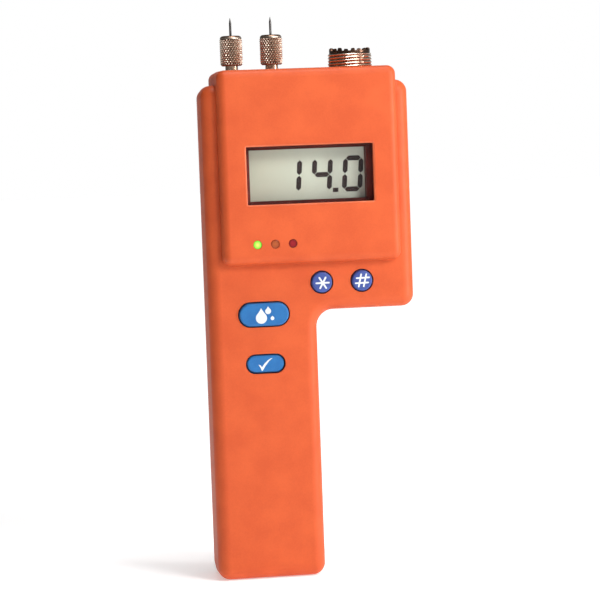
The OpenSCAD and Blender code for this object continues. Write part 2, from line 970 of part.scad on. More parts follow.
// A flat-topped lamp with its two wires, its top just inside the panel's face
module lamp(i) {
    spot = [-led_left + i * led_pitch, panel_bottom + led_rise];
    foot = z_lamp - lamp_l;
    stood_up() {
        peg(spot, led_d / 2 + lamp_rim, foot, foot + 1);
        translate([spot[0], spot[1], 0])
            rotate_extrude()
                half_section(led_d / 2, foot, z_lamp, lamp_edge);
        for (side = [-1, 1])
            block([spot[0] + side * lamp_wire_x, spot[1]], [0.5, 0.5], z_board, foot + 0.5);
    }
}

module led_green() {
    color("lime")
        lamp(-1);
}

module led_amber() {
    color("sienna")
        lamp(0);
}

module led_red() {
    color("darkred")
        lamp(1);
}

module led_spacers() {
    foot = z_lamp - lamp_l;
    color("black")
        stood_up()
            for (i = [-1 : 1])
                difference() {
                    peg([-led_left + i * led_pitch, panel_bottom + led_rise],
                        led_d / 2 + lamp_rim, z_board, foot);
                    for (side = [-1, 1])
                        block([-led_left + i * led_pitch + side * lamp_wire_x,
                            panel_bottom + led_rise], [0.7, 0.7], z_board - over, foot + over);
                }
}

module moisture_key() {
    key(moisture_spot);
}

module check_key() {
    key(check_spot);
}

module star_key() {
    key(star_spot);
}

module hash_key() {
    key(hash_spot);
}

module moisture_plunger() {
    plunger(moisture_spot);
}

module check_plunger() {
    plunger(check_spot);
}

module star_plunger() {
    plunger(star_spot);
}

module hash_plunger() {
    plunger(hash_spot);
}

module pin_post(x) {
    color("darkkhaki")
        stood_up()
            riser(x, post_d / 2, post_bottom, post_top);
}

module left_pin_post() {
    pin_post(pin_xs[0]);
}

module right_pin_post() {
    pin_post(pin_xs[1]);
}

// A chuck: a cap on a post, with a hole in its crown for the needle
module pin_chuck(x) {
    r = chuck_d / 2;
    bevel = 0.6;
    crown = 1.3;
    color("darkkhaki")
        stood_up()
            translate([x, chuck_y, z_split])
                rotate([-90, 0, 0])
                    rotate_extrude()
                        polygon([[post_d / 2 + fit, 0], [r - bevel, 0], [r, bevel],
                            [r, chuck_h - crown], [r - crown, chuck_h],
                            [needle_d / 2 + 0.15, chuck_h],
                            [needle_d / 2 + 0.15, chuck_h - chuck_cap],
                            [post_d / 2 + fit, chuck_h - chuck_cap]]);
}

module left_pin_chuck() {
    pin_chuck(pin_xs[0]);
}

module right_pin_chuck() {
    pin_chuck(pin_xs[1]);
}

module contact_pin(x) {
    point = chuck_y + chuck_h + needle_out - post_top;
    color("dimgray")
        stood_up()
            translate([x, post_top, z_split])
                rotate([-90, 0, 0])
                    rotate_extrude()
                        polygon([[0, 0], [needle_head_r, 0], [needle_head_r, needle_head_h],
                            [needle_d / 2, needle_head_h], [needle_d / 2, point - needle_tip],
                            [0.06, point], [0, point]]);
}

module left_contact_pin() {
    contact_pin(pin_xs[0]);
}

module right_contact_pin() {
    contact_pin(pin_xs[1]);
}

module post_insulators() {
    color("white")
        stood_up()
            for (x = pin_xs)
                difference() {
                    union() {
                        riser(x, insulator_r, panel_top - wall - flange_h, panel_top - wall);
                        riser(x, neck_r - fit, panel_top - wall - over, panel_top + 0.3);
                    }
                    riser(x, post_d / 2, panel_top - wall - flange_h - over, panel_top + over);
                }
}

module post_nuts() {
    nut_top = panel_top - wall - flange_h - lug_t;
    color("silver")
        stood_up()
            for (x = pin_xs)
                difference() {
                    translate([x, nut_top - nut_h, z_split])
                        rotate([-90, 0, 0])
                            cylinder(h = nut_h, r = 4.1, $fn = 6);
                    riser(x, post_d / 2, nut_top - nut_h - over, nut_top + over);
                }
}

module post_lugs() {
    lug_top = panel_top - wall - flange_h;
    color("gold")
        stood_up()
            for (x = pin_xs)
                difference() {
                    union() {
                        riser(x, 3.8, lug_top - lug_t, lug_top);
                        translate([x - 1, lug_top - lug_t, z_split - 7])
                            cube([2, lug_t, 5]);
                    }
                    riser(x, post_d / 2, lug_top - lug_t - over, lug_top + over);
                }
}

// A wire from behind a point down to the back of the board's top edge
module drop_lead(x, z, y_high) {
    turn = board_top - 3;
    translate([x, turn, z])
        rotate([-90, 0, 0])
            cylinder(h = y_high - turn, r = lead_r);
    translate([x, turn, z])
        sphere(r = lead_r);
    translate([x, turn, z])
        cylinder(h = z_board - board_t - z, r = lead_r);
}

module pin_leads() {
    color("white")
        stood_up()
            for (x = pin_xs)
                drop_lead(x, z_split - 6, panel_top - wall - flange_h - lug_t);
}

// The socket's shell: a flange and a neck held between the shells, a thread and a toothed rim
module connector_body() {
    thread_h = socket_h - tooth_h - rim_chamfer;
    below = panel_top - wall - 2;
    lift = panel_top - below;
    tooth_turn = 360 / tooth_count;
    tooth_gap = PI * 2 * rim_r / tooth_count * 0.45;
    color("silver")
        stood_up()
            difference() {
                translate([socket_x, below, z_split])
                    rotate([-90, 0, 0])
                        rotate_extrude()
                            polygon([[socket_bore_r, 0], [socket_flange_r, 0],
                                [socket_flange_r, 2 - fit], [socket_neck_r, 2 - fit],
                                [socket_neck_r, lift + fit], [socket_r, lift + fit],
                                [socket_r, lift + thread_h], [rim_r, lift + thread_h + rim_chamfer],
                                [rim_r, lift + socket_h], [socket_bore_r, lift + socket_h]]);
                for (i = [0 : tooth_count - 1])
                    translate([socket_x, panel_top + socket_h - tooth_h, z_split])
                        rotate([-90, 0, 0])
                            rotate([0, 0, (i + 0.5) * tooth_turn])
                                translate([socket_bore_r - over / 2, -tooth_gap / 2, 0])
                                    cube([3, tooth_gap, tooth_h + over]);
            }
}

module connector_insulator() {
    color("white")
        stood_up()
            difference() {
                riser(socket_x, socket_bore_r, panel_top - wall - 4, panel_top + 0.2);
                riser(socket_x, contact_bore / 2 + contact_wall, panel_top - wall - 4 - over,
                    panel_top + over);
            }
}

module connector_contact() {
    top = panel_top + socket_h - 1.9;
    color("gold")
        stood_up()
            difference() {
                union() {
                    riser(socket_x, contact_bore / 2 + contact_wall, panel_top - wall - 5, top);
                    riser(socket_x, 1.4, panel_top - wall - 9, panel_top - wall - 5 + fit);
                }
                riser(socket_x, contact_bore / 2, panel_top - 1.5, top + over);
            }
}

module connector_lead() {
    color("white")
        stood_up()
            drop_lead(socket_x, z_split, panel_top - wall - 9);
}

front_shell();
rear_shell();
battery_door();
door_pad();
door_hinge_pin();
battery();
battery_pad();
battery_snap();
battery_lead_red();
battery_lead_black();
display_lens();
lens_gasket();
display_frame();
lcd_glass();
lcd_segments();
zebra_strips();
circuit_board();
microcontroller();
board_components();
board_screws();
tact_switches();
case_screws();
led_green();
led_amber();
led_red();
led_spacers();
moisture_key();
check_key();
star_key();
hash_key();
moisture_plunger();
check_plunger();
star_plunger();
hash_plunger();
left_pin_post();
right_pin_post();
left_pin_chuck();
right_pin_chuck();
left_contact_pin();
right_contact_pin();
post_insulators();
post_nuts();
post_lugs();
pin_leads();
connector_body();
connector_insulator();
connector_contact();
connector_lead();
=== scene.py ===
"""Looks of the hand-held grain moisture meter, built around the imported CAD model."""
import json
import math

import bmesh
import bpy
from mathutils import Matrix, Vector


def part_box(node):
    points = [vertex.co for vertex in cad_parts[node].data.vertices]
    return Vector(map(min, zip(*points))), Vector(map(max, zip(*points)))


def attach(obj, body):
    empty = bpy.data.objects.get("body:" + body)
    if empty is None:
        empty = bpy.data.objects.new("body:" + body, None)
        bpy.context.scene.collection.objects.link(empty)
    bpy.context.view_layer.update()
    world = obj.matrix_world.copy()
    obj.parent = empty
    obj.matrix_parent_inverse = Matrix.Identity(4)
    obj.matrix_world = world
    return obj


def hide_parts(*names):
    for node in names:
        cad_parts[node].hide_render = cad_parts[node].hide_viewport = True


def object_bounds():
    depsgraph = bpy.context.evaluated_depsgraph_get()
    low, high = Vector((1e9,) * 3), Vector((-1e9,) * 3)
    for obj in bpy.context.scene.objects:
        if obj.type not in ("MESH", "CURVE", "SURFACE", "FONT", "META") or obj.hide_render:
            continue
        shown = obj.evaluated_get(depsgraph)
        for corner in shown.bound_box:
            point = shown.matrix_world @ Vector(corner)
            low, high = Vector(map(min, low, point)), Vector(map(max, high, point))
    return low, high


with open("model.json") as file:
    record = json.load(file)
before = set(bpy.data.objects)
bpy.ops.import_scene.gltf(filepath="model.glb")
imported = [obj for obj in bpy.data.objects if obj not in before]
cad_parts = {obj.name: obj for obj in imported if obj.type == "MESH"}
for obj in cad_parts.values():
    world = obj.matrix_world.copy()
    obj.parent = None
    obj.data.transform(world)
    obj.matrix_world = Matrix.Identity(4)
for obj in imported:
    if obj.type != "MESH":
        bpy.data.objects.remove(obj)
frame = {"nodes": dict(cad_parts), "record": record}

cad_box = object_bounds()
MM = 0.001
nodes = frame["nodes"]
record = frame["record"]
scene = bpy.context.scene


# ---------------------------------------------------------------- colours and materials

def linear(r, g, b):
    """An sRGB colour, 0 to 255, as the linear RGBA that shaders take."""
    def one(v):
        v /= 255
        return v / 12.92 if v <= 0.04045 else ((v + 0.055) / 1.055) ** 2.4
    return (one(r), one(g), one(b), 1.0)


def middle_of(node):
    """The middle of a CAD node's box."""
    low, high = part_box(node)
    return (low + high) / 2


class Paint:
    """A material on a Principled shader, with its textures in metres on the piece itself."""

    def __init__(self, name, rough, metal=0.0):
        self.material = bpy.data.materials.new(name)
        self.material.use_nodes = True
        self.tree = self.material.node_tree
        self.shader = self.tree.nodes["Principled BSDF"]
        self.shader.inputs["Roughness"].default_value = rough
        self.shader.inputs["Metallic"].default_value = metal
        self.place = self.node("ShaderNodeTexCoord").outputs["Object"]
        self.normal = None

    def node(self, kind, **values):
        """A new node with the given settings."""
        made = self.tree.nodes.new(kind)
        for key, value in values.items():
            setattr(made, key, value)
        return made

    def put(self, socket, value):
        """Link a node's output into a socket, or set the socket to a plain value."""
        if isinstance(value, bpy.types.NodeSocket):
            self.tree.links.new(value, socket)
        else:
            socket.default_value = value

    def noise(self, grain, detail=2.0, stretch=(1, 1, 1), rough=0.5):
        """Noise with its lumps about grain metres across, between 0 and 1."""
        shift = self.node("ShaderNodeMapping")
        shift.inputs["Scale"].default_value = tuple(s / grain for s in stretch)
        self.put(shift.inputs["Vector"], self.place)
        made = self.node("ShaderNodeTexNoise")
        self.put(made.inputs["Vector"], shift.outputs[0])
        made.inputs["Scale"].default_value = 1.0
        made.inputs["Detail"].default_value = detail
        made.inputs["Roughness"].default_value = rough
        return made.outputs["Fac"]

    def speckle(self, size):
        """Cell pattern with cells about size metres across."""
        made = self.node("ShaderNodeTexVoronoi")
        self.put(made.inputs["Vector"], self.place)
        made.inputs["Scale"].default_value = 1 / size
        return made.outputs["Distance"]

    def spread(self, value, low, high, to_low=0.0, to_high=1.0):
        """A value read between low and high as a number between to_low and to_high."""
        made = self.node("ShaderNodeMapRange")
        self.put(made.inputs["Value"], value)
        for key, number in (("From Min", low), ("From Max", high), ("To Min", to_low),
                            ("To Max", to_high)):
            made.inputs[key].default_value = number
        return made.outputs["Result"]

    def along(self, axis):
        """The place along X, Y or Z in metres."""
        made = self.node("ShaderNodeSeparateXYZ")
        self.put(made.inputs[0], self.place)
        return made.outputs[axis]

    def maths(self, kind, a, b=0.0):
        """One step of arithmetic on outputs or numbers."""
        made = self.node("ShaderNodeMath", operation=kind)
        self.put(made.inputs[0], a)
        self.put(made.inputs[1], b)
        return made.outputs[0]

    def away(self, centre, axes=(1, 1, 1)):
        """Distance from a point, counting only the axes marked 1."""
        scaled = self.node("ShaderNodeVectorMath", operation="MULTIPLY")
        self.put(scaled.inputs[0], self.place)
        scaled.inputs[1].default_value = axes
        gap = self.node("ShaderNodeVectorMath", operation="DISTANCE")
        self.put(gap.inputs[0], scaled.outputs[0])
        gap.inputs[1].default_value = tuple(c * a for c, a in zip(centre, axes))
        return gap.outputs["Value"]

    def blend(self, factor, a, b, kind="RGBA"):
        """Colours, or numbers where kind is FLOAT, mixed from a at 0 to b at 1."""
        made = self.node("ShaderNodeMix", data_type=kind)
        for key, value in (("Factor", factor), ("A", a), ("B", b)):
            self.put(made.inputs[key], value)
        return made.outputs["Result"]

    def colour(self, value):
        self.put(self.shader.inputs["Base Color"], value)

    def rough(self, value):
        self.put(self.shader.inputs["Roughness"], value)

    def soften(self, radius):
        """Light catches sharp corners as if they had a small radius."""
        made = self.node("ShaderNodeBevel", samples=6)
        made.inputs["Radius"].default_value = radius
        self.normal = made.outputs[0]
        self.put(self.shader.inputs["Normal"], self.normal)

    def relief(self, height, depth):
        """Bumps of the given depth in metres."""
        made = self.node("ShaderNodeBump")
        made.inputs["Strength"].default_value = 1.0
        made.inputs["Distance"].default_value = depth
        self.put(made.inputs["Height"], height)
        if self.normal:
            self.put(made.inputs["Normal"], self.normal)
        self.normal = made.outputs[0]
        self.put(self.shader.inputs["Normal"], self.normal)

    def set(self, **values):
        """Shader settings by name, with _ for a space."""
        for key, value in values.items():
            self.shader.inputs[key.replace("_", " ")].default_value = value


def moulded(name, light, dark, rough=0.48, grain=0.6, depth=0.018, edge=0.3, patch=9.0):
    """Moulded plastic: slow colour drift, fine spark-eroded grain and softened corners."""
    p = Paint(name, rough)
    drift = p.noise(patch * MM, 3.0)
    fine = p.noise(grain * MM, 2.0)
    mixed = p.maths("ADD", p.maths("MULTIPLY", drift, 0.7), p.maths("MULTIPLY", fine, 0.3))
    p.colour(p.blend(p.spread(mixed, 0.36, 0.64), dark, light))
    p.rough(p.spread(fine, 0.3, 0.7, rough - 0.06, rough + 0.06))
    if edge:
        p.soften(edge * MM)
    p.relief(p.maths("ADD", fine, p.maths("MULTIPLY", p.noise(2.2 * MM, 1.0), 0.8)), depth * MM)
    p.set(Specular_IOR_Level=0.25)
    return p


def streaked_metal_and_groove_shade(name, light, dark, rough=0.26, axis=None, shade_r_low=0.0, shade_r_high=1.0, streak=(1, 1, 1)):
    """Bright metal with fine streaks; given an axis, painted shade darkens it low in its grooves,
    lightest on the crests.
    """
    p = Paint(name, rough, 1.0)
    mottle = p.noise(1.6 * MM, 4.0, streak)
    shade = p.spread(mottle, 0.3, 0.7)
    if axis:
        # Painted shade: the colour darkens nearer the axis, down in the grooves.
        depth = p.spread(p.away(axis, (1, 1, 0)), shade_r_low, shade_r_high)
        shade = p.maths("MULTIPLY", depth, p.spread(mottle, 0.25, 0.6, 0.85, 1.0))
    p.colour(p.blend(shade, dark, light))
    p.rough(p.spread(mottle, 0.3, 0.7, rough + 0.08, rough - 0.05))
    p.relief(p.noise(0.35 * MM, 2.0, streak), 0.004 * MM)
    return p


ORANGE_LIGHT = linear(205, 88, 44)
ORANGE_DARK = linear(194, 79, 38)

paints = {
    "orange_plastic": moulded("orange_plastic", ORANGE_LIGHT, ORANGE_DARK),
    "blue_plastic": moulded("blue_plastic", linear(42, 108, 168), linear(34, 96, 156), 0.42,
                            0.4, 0.006, 0.25, 5.0),
    "violet_plastic": moulded("violet_plastic", linear(66, 86, 152), linear(56, 72, 136), 0.4,
                              0.4, 0.006, 0.25, 5.0),
    "black_plastic": moulded("black_plastic", linear(44, 43, 44), linear(26, 26, 27), 0.5, 0.4,
                             0.01, 0),
    "white_plastic": moulded("white_plastic", linear(222, 226, 226), linear(206, 213, 216), 0.45,
                             0.5, 0.004, 0),
    # The frame's dark red-brown is painted shade: the shadowed colour of the window's recess
    # walls.
    "frame_plastic": moulded("frame_plastic", linear(112, 34, 24), linear(84, 24, 18), 0.5, 0.5,
                             0.01, 0),
}


def foam():
    """Open-cell foam."""
    p = Paint("foam", 0.95)
    cells = p.speckle(0.7 * MM)
    p.colour(p.blend(p.spread(cells, 0.1, 0.7), linear(70, 70, 72), linear(24, 24, 26)))
    p.relief(cells, 0.15 * MM)
    return p


def elastomer():
    """Zebra strip: thin conducting and plain bands side by side."""
    p = Paint("elastomer", 0.7)
    bands = p.maths("SINE", p.maths("MULTIPLY", p.along("X"), 2 * math.pi / (0.5 * MM)))
    p.colour(p.blend(p.spread(bands, -0.2, 0.2), linear(196, 150, 150), linear(60, 40, 42)))
    p.relief(p.noise(0.4 * MM), 0.01 * MM)
    return p


def wire():
    """Glossy insulation of a lead."""
    p = Paint("red_wire", 0.35)
    p.colour(p.blend(p.noise(1.5 * MM, 3.0), linear(150, 16, 18), linear(196, 30, 28)))
    p.relief(p.noise(0.6 * MM, 1.0, (1, 1, 0.2)), 0.01 * MM)
    return p


def battery_can():
    """Painted can: dark lower part, copper-coloured upper band, thin pale ring between."""
    low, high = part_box("battery")
    tall = high.z - low.z
    p = Paint("battery_can", 0.3, 0.55)
    up = p.along("Z")
    band = p.spread(up, low.z + 0.68 * tall, low.z + 0.681 * tall)
    ring = p.spread(p.maths("ABSOLUTE", p.maths("SUBTRACT", up, low.z + 0.66 * tall)),
                    0.8 * MM, 0.7 * MM)
    base = p.blend(band, linear(34, 38, 48), linear(172, 104, 58))
    tinted = p.blend(p.spread(p.noise(3 * MM, 4.0), 0.4, 0.9, 0.0, 0.25), base,
                     linear(110, 110, 112))
    p.colour(p.blend(ring, tinted, linear(205, 205, 200)))
    p.relief(p.noise(0.5 * MM, 1.0, (1, 1, 0.1)), 0.006 * MM)
    return p


def lens():
    """Clear window, almost fully transparent."""
    p = Paint("clear_lens", 0.06)
    p.colour(p.blend(p.noise(14 * MM, 2.0), linear(120, 124, 122), linear(150, 154, 152)))
    p.rough(p.spread(p.noise(5 * MM, 3.0), 0.3, 0.7, 0.04, 0.1))
    p.set(Alpha=0.04)
    return p


def display():
    """Reflective liquid-crystal glass: grey-green with a fine darker speckle, and painted light
    making it paler to the right.
    """
    low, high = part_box("lcd_glass")
    p = Paint("lcd", 0.32)
    # Painted light: the glass grows paler towards the right.
    side = p.spread(p.along("X"), low.x, high.x)
    tone = p.blend(side, linear(186, 190, 168), linear(214, 224, 208))
    p.colour(p.blend(p.spread(p.noise(0.3 * MM, 2.0), 0.3, 0.7, 0.0, 0.12), tone,
                     linear(150, 150, 134)))
    p.relief(p.noise(0.25 * MM), 0.003 * MM)
    return p


def ink():
    """Dark display segments."""
    p = Paint("lcd_ink", 0.42)
    p.set(Specular_IOR_Level=0.2)
    p.colour(p.blend(p.noise(1.2 * MM, 2.0), linear(26, 8, 8), linear(42, 15, 14)))
    p.relief(p.noise(0.3 * MM), 0.003 * MM)
    return p


def board():
    """Solder mask over copper tracks, with bare pads showing through."""
    p = Paint("board_green", 0.28)
    run = p.maths("SINE", p.maths("MULTIPLY", p.along("X"), 2 * math.pi / (2.2 * MM)))
    cross = p.maths("SINE", p.maths("MULTIPLY", p.along("Z"), 2 * math.pi / (2.9 * MM)))
    turned = p.spread(p.noise(11 * MM, 0.0), 0.48, 0.52)
    tracks = p.spread(p.blend(turned, run, cross, "FLOAT"), 0.35, 0.5)
    green = p.blend(tracks, linear(10, 74, 38), linear(24, 108, 54))
    pads = p.spread(p.speckle(5.5 * MM), 0.12, 0.1)
    p.colour(p.blend(pads, green, linear(190, 186, 172)))
    p.relief(tracks, 0.03 * MM)
    return p


def component():
    """Small parts on the board, some tan and some dark."""
    p = Paint("component", 0.4)
    p.colour(p.blend(p.spread(p.noise(2.5 * MM, 1.0), 0.45, 0.55), linear(150, 112, 66),
                     linear(58, 48, 40)))
    p.relief(p.noise(0.3 * MM), 0.01 * MM)
    return p


def lamp_glass(node, centre_colour, rim_colour, glow=0.0):
    """Tinted lamp with a paler middle; a lit one gives light."""
    p = Paint(node, 0.22)
    ragged = p.spread(p.noise(0.8 * MM), 0, 1, 0, 0.2 * MM)
    gap = p.maths("ADD", p.away(middle_of(node), (1, 0, 1)), ragged)
    tint = p.blend(p.spread(gap, 0.25 * MM, 1.5 * MM), centre_colour, rim_colour)
    p.colour(tint)
    p.set(Specular_IOR_Level=0.3)
    if glow:
        p.put(p.shader.inputs["Emission Color"], tint)
        p.set(Emission_Strength=glow)
    return p


def streaked_steel(name, light, dark, rough):
    """Steel with its streaks drawn out along Z."""
    return streaked_metal_and_groove_shade(name, light, dark, rough, streak=(1, 1, 0.25))


NICKEL = linear(214, 188, 164)

paints.update({
    "foam": foam(), "elastomer": elastomer(), "red_wire": wire(), "battery_can": battery_can(),
    "clear_lens": lens(), "lcd": display(), "lcd_ink": ink(), "board_green": board(),
    "component": component(),
    "steel": streaked_steel("steel", linear(200, 200, 202), linear(128, 128, 130), 0.34),
    "dark_steel": streaked_steel("dark_steel", linear(120, 116, 114), linear(58, 54, 53), 0.36),
    "brass_nickel": streaked_metal_and_groove_shade("brass_nickel", NICKEL, linear(150, 120, 96), 0.24),
    "led_green": lamp_glass("led_green", linear(190, 236, 90), linear(84, 176, 40), 0.6),
    "led_amber": lamp_glass("led_amber", linear(170, 84, 40), linear(140, 62, 32)),
    "led_red": lamp_glass("led_red", linear(146, 20, 30), linear(112, 14, 22)),
})

slots = {part["node"]: part["material_slot"] for part in record["subparts"]}
for name, node in nodes.items():
    paint = paints[slots[name]].material
    if not node.material_slots:
        node.data.materials.append(paint)
    for slot in node.material_slots:
        slot.material = paint


# ---------------------------------------------------------------- pieces in mesh code

def piece(name, mesh, paint, body, smooth=35.0):
    """An object that rides on a body, with edges sharper than smooth degrees left sharp."""
    o = bpy.data.objects.new(name, mesh)
    mesh.materials.append(paint.material)
    mesh.polygons.foreach_set("use_smooth", [True] * len(mesh.polygons))
    mesh.set_sharp_from_angle(angle=math.radians(smooth))
    scene.collection.objects.link(o)
    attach(o, body)
    return o


def closed_rings(name, rings):
    """Closed solid through rings of points, each joined to the next and the last to the first."""
    mesh = bpy.data.meshes.new(name)
    bm = bmesh.new()
    rings = [[bm.verts.new(point) for point in ring] for ring in rings]
    count = len(rings[0])
    for i, a in enumerate(rings):
        b = rings[(i + 1) % len(rings)]
        for j in range(count):
            k = (j + 1) % count
            bm.faces.new((a[j], b[j], b[k], a[k]))
    bmesh.ops.recalc_face_normals(bm, faces=bm.faces)
    bm.to_mesh(mesh)
    bm.free()
    return mesh


def lathe(name, centre, profile, turns, shape):
    """Closed ring of a profile of (radius, height) turned about a vertical axis; shape moves
    each point by its turn, radius and height."""
    rings = []
    for i in range(turns):
        turn = 2 * math.pi * i / turns
        shaped = [shape(turn, r, z) for r, z in profile]
        rings.append([(centre.x + r * math.cos(turn), centre.y + r * math.sin(turn), z)
                      for r, z in shaped])
    return closed_rings(name, rings)


def wave(x):
    """Triangle wave: 0 at whole numbers and 1 halfway between."""
    return 1 - abs(2 * (x % 1) - 1)


def steps(start, end, count):
    """Evenly spaced numbers from start to end, both included."""
    return [start + (end - start) * i / count for i in range(count + 1)]


NEAR = 0.001 * MM         # slack when a profile point is told apart by its radius
HAIR = 1e-7               # and by its height, in metres

# Knurled chucks
KNURL_STARTS = 24
KNURL_LEAD = 37.0 * MM
KNURL_DEPTH = 0.5 * MM
KNURL_FADE = 0.3 * MM     # height over which the knurl runs in and out
KNURL_DROP = 0.2 * MM     # how far it lies below full radius there
KNURL_STEPS = 64
KNURL_SIDES = 8           # points around each start
CHUCK_BEVEL = 0.6 * MM
CHUCK_CROWN = 1.3 * MM
CHUCK_CAP = 2.3 * MM
CROWN_ANGLES = (0, 15, 30, 45, 60, 75, 90)
POST_RADIUS = 2.25 * MM
POST_FIT = 0.05 * MM
CROWN_HOLE = 0.75 * MM    # with its ease, a wider hole round the needle than the CAD's
CROWN_EASE = 0.15 * MM


def knurled_chuck(node, body):
    """Chuck with crossed knurls, a bevelled foot and a rounded crown, bored for its post."""
    low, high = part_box(node)
    centre = (low + high) / 2
    r = (high.x - low.x) / 2
    bore = POST_RADIUS + POST_FIT
    needle_bore = CROWN_HOLE + CROWN_EASE
    knurl_low, knurl_high = low.z + CHUCK_BEVEL + 0.1 * MM, high.z - CHUCK_CROWN + 0.15 * MM
    profile = [(bore, low.z), (r - CHUCK_BEVEL - 0.1 * MM, low.z),
               (r - 0.25 * MM, low.z + CHUCK_BEVEL * 0.8)]
    profile += [(r, z) for z in steps(knurl_low, knurl_high, KNURL_STEPS)]
    profile += [(r - 0.2 * MM - (CHUCK_CROWN - 0.2 * MM) * (1 - math.cos(a)),
                 knurl_high + 0.05 * MM + (high.z - knurl_high - 0.05 * MM) * math.sin(a))
                for a in (math.radians(d) for d in CROWN_ANGLES)]
    profile += [(needle_bore + 0.25 * MM, high.z), (needle_bore, high.z - 0.2 * MM),
                (needle_bore, high.z - CHUCK_CAP), (bore, high.z - CHUCK_CAP)]

    def knurl(turn, radius, z):
        if radius < r - NEAR or not knurl_low - HAIR <= z <= knurl_high + HAIR:
            return radius, z
        a = turn / (2 * math.pi) * KNURL_STARTS
        b = (z - knurl_low) / KNURL_LEAD * KNURL_STARTS
        high_point = min(wave(a + b), wave(a - b))
        ends = min(1.0, (z - knurl_low) / KNURL_FADE, (knurl_high - z) / KNURL_FADE)
        return r - KNURL_DEPTH * (1 - high_point) - KNURL_DROP * (1 - max(ends, 0)), z

    mesh = lathe(node + "_knurled", centre, profile, KNURL_STARTS * KNURL_SIDES, knurl)
    # The dark colour is painted shade low in the knurl grooves, the light one on the crests.
    paint = streaked_metal_and_groove_shade(node + "_metal", linear(250, 234, 216), linear(124, 94, 76), 0.34,
                       centre, r - KNURL_DEPTH * 0.85, r - 0.08 * MM)
    made = piece(node + "_knurled", mesh, paint, body, 30)
    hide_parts(node)


knurled_chuck("left_pin_chuck", "left_chuck")
knurled_chuck("right_pin_chuck", "right_chuck")


# Coaxial socket: thread, smooth band and toothed rim
THREAD_PITCH = 25.4 / 24 * MM
THREAD_DEPTH = 0.42 * MM
THREAD_FADE = 0.35 * MM   # run-out at each end
THREAD_STEPS = 56
TEETH = 18
TOOTH_HEIGHT = 1.2 * MM
TOOTH_GAP = 0.34          # share of the wave below which a gap lies
TOOTH_SLOPE = 5
TOOTH_FLOOR = 0.02        # share of the height left in a gap
BAND_HEIGHT = 2.15 * MM   # teeth and the smooth band under them
FLANGE_HEIGHT = 1.95 * MM
FLANGE_OUT = 1.7 * MM
SOCKET_WALL = 1.6 * MM
NECK_IN = 0.45 * MM
RIM_IN = 0.6 * MM
SOCKET_TURNS = 288


def threaded_socket(node, body):
    """Socket with a flange, a one-start thread and a toothed rim of uneven wear."""
    low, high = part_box(node)
    centre = (low + high) / 2
    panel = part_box("front_shell")[1].z
    flange_r = (high.x - low.x) / 2
    r = flange_r - FLANGE_OUT
    bore = r - SOCKET_WALL
    neck = r - NECK_IN
    rim = r - RIM_IN
    tooth_z = high.z - TOOTH_HEIGHT
    thread_low = panel + 0.1 * MM
    thread_high = high.z - BAND_HEIGHT
    profile = [(bore, low.z), (flange_r, low.z), (flange_r, low.z + FLANGE_HEIGHT),
               (neck, low.z + FLANGE_HEIGHT), (neck, thread_low)]
    profile += [(r, z) for z in steps(thread_low, thread_high, THREAD_STEPS)]
    profile += [(rim - 0.1 * MM, thread_high + 0.1 * MM), (rim, thread_high + 0.25 * MM),
                (rim, tooth_z), (rim - 0.05 * MM, high.z - 0.15 * MM),
                (rim - 0.25 * MM, high.z), (bore + 0.2 * MM, high.z),
                (bore, high.z - 0.15 * MM), (bore, tooth_z)]

    def form(turn, radius, z):
        if radius > r - NEAR and thread_low - HAIR <= z <= thread_high + HAIR:
            cut = 1 - wave((z - thread_low) / THREAD_PITCH - turn / (2 * math.pi))
            fade = min(1.0, (z - thread_low) / THREAD_FADE, (thread_high - z) / THREAD_FADE)
            return radius - THREAD_DEPTH * max(cut, 0.85 * (1 - max(fade, 0))), z
        if z > tooth_z + 0.01 * MM:
            at = turn / (2 * math.pi) * TEETH
            lift = max(0.0, min(1.0, (wave(at) - TOOTH_GAP) * TOOTH_SLOPE))
            uneven = 0.72 + 0.28 * math.sin(5 * turn + 1.0) * math.cos(3 * turn)
            return radius, tooth_z + (z - tooth_z) * max(TOOTH_FLOOR, lift * uneven)
        return radius, z

    mesh = lathe(node + "_threaded", centre, profile, SOCKET_TURNS, form)
    # The dark colour is painted shade low in the thread grooves.
    paint = streaked_metal_and_groove_shade(node + "_metal", linear(230, 206, 186), linear(88, 66, 54), 0.24,
                       centre, r - THREAD_DEPTH * 1.1, r - 0.1 * MM)
    made = piece(node + "_threaded", mesh, paint, body, 30)
    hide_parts(node)


threaded_socket("connector_body", "case")


# Polished edge around the display window
WINDOW_W = 46.3 * MM
WINDOW_H = 21.5 * MM
WINDOW_R = 1.0 * MM
RIM_WIDTH = 0.55 * MM
RIM_DEPTH = 0.5 * MM
RIM_SET = 0.03 * MM       # behind the face


def window_rim(body):
    """Ring of a rounded edge just inside the window's mouth."""
    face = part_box("front_shell")[0].y
    centre = middle_of("display_lens")
    section = [(0.0, RIM_SET), (0.0, RIM_DEPTH)]
    section += [(RIM_WIDTH * math.cos(t), RIM_DEPTH - (RIM_DEPTH - RIM_SET) * math.sin(t))
                for t in (math.radians(d) for d in (0, 22, 45, 68, 84))]
    corners = [(1, -1, -90), (1, 1, 0), (-1, 1, 90), (-1, -1, 180)]
    rings = []
    for sx, sz, start in corners:
        cx = centre.x + sx * (WINDOW_W / 2 - WINDOW_R)
        cz = centre.z + sz * (WINDOW_H / 2 - WINDOW_R)
        for d in range(0, 91, 15):
            t = math.radians(start + d)
            rings.append([(cx + (WINDOW_R - inward) * math.cos(t), face + deep,
                           cz + (WINDOW_R - inward) * math.sin(t)) for inward, deep in section])
    mesh = closed_rings("window_rim", rings)
    # Paler orange than the shell: a painted highlight along the window's edge, with a glossy
    # finish.
    paint = moulded("rim_plastic", linear(214, 108, 70), linear(198, 92, 56), 0.16, edge=0)
    piece("window_rim", mesh, paint, body, 40)


window_rim("case")


# Printed symbols on the keys
PRINT_PROUD = 0.05 * MM
PRINT_SUNK = 0.05 * MM
PRINT_STEP = 0.012 * MM   # each outline lies this much higher than the last, so none flicker


